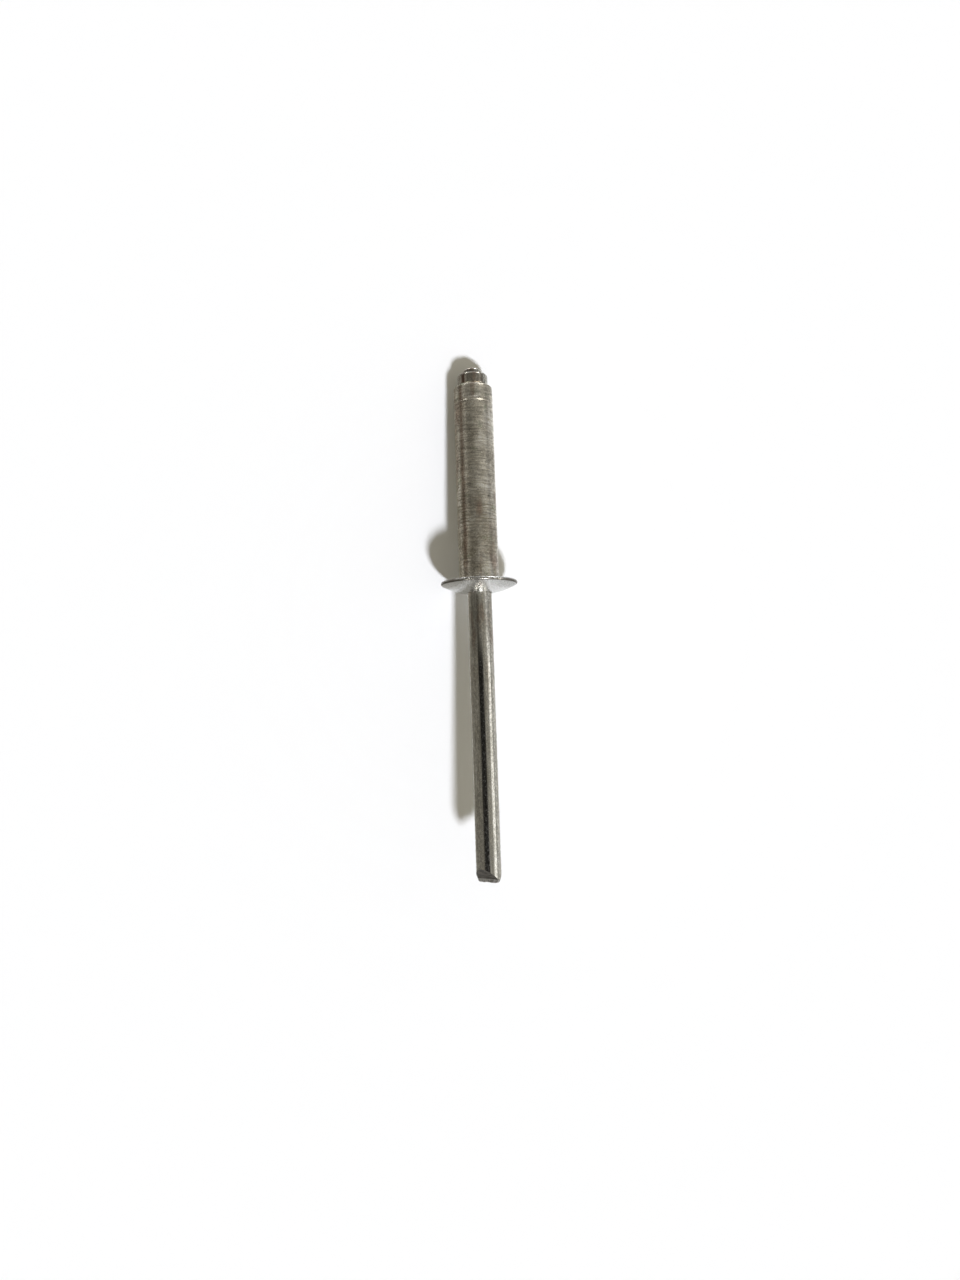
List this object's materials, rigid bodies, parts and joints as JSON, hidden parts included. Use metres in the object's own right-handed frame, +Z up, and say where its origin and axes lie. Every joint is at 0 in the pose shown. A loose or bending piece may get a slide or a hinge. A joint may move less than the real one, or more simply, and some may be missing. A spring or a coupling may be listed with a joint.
{
  "type": "blind rivet",
  "caption": "Open-end blind rivet with a domed flange, unset, with its nipped mandrel still in the shell.",
  "frame": {"origin": "bottom centre of the box round the rivet as it lies on a surface", "axes": "+Z up; +Y from the mandrel's tip towards the blind end, along the rivet seen from above; +X across it. The rivet's own axis leans 5.26 degrees down towards the blind end"},
  "size_m": [0.0076, 0.0514, 0.0077],
  "materials": {
    "shell": "dull, with fine turned lines and scuffs",
    "mandrel": "drawn, semi-bright"
  },
  "bodies": {
    "root": {"rivet_body": "shell", "mandrel": "mandrel"}
  },
  "joints": []
}
